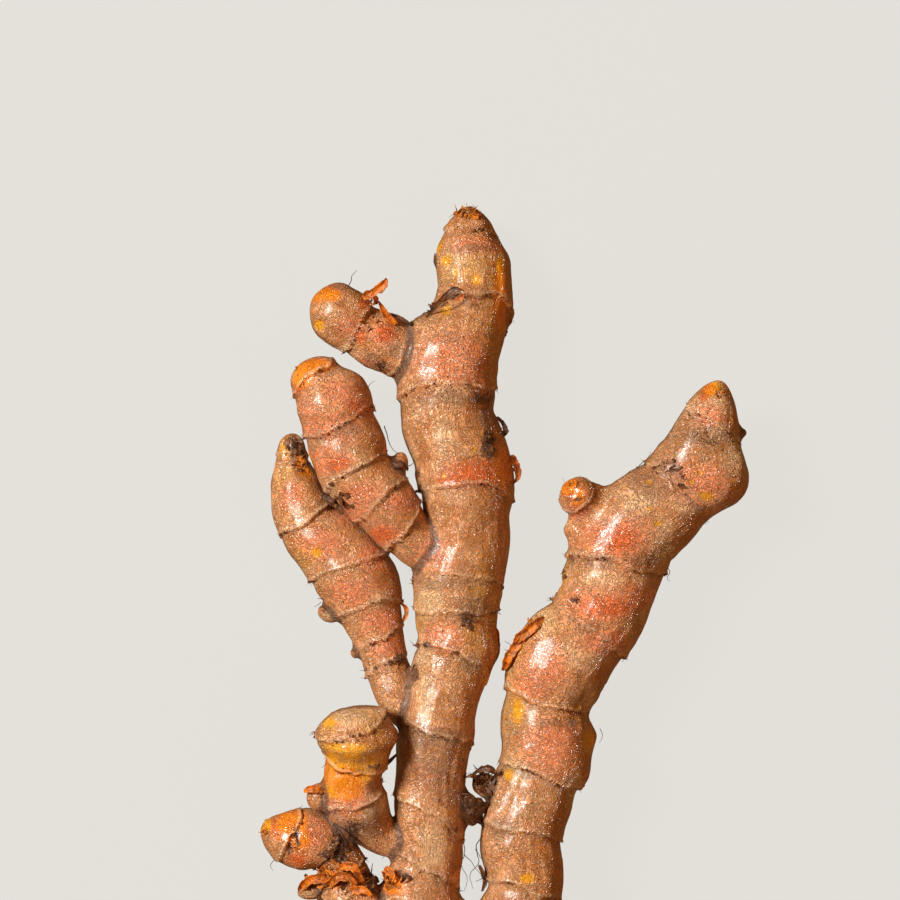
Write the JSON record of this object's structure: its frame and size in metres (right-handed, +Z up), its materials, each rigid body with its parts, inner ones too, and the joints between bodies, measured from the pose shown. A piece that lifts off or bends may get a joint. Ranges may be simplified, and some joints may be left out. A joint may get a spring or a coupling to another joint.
{
  "type": "turmeric rhizome",
  "caption": "Hand of fresh turmeric root: a mother rhizome with ringed, knobbly fingers and buds, lying on its side.",
  "frame": {"origin": "on the resting plane, under the middle of the bounding box", "axes": "+Y along the longest finger towards its tip, +X towards the second long finger, +Z up from the surface it lies on"},
  "size_m": [0.0828, 0.146, 0.0266],
  "materials": {
    "turmeric_skin": "corky orange-brown skin, half matt, with a slight waxy sheen"
  },
  "bodies": {
    "root": {"turmeric_rhizome": "turmeric_skin"}
  },
  "joints": []
}
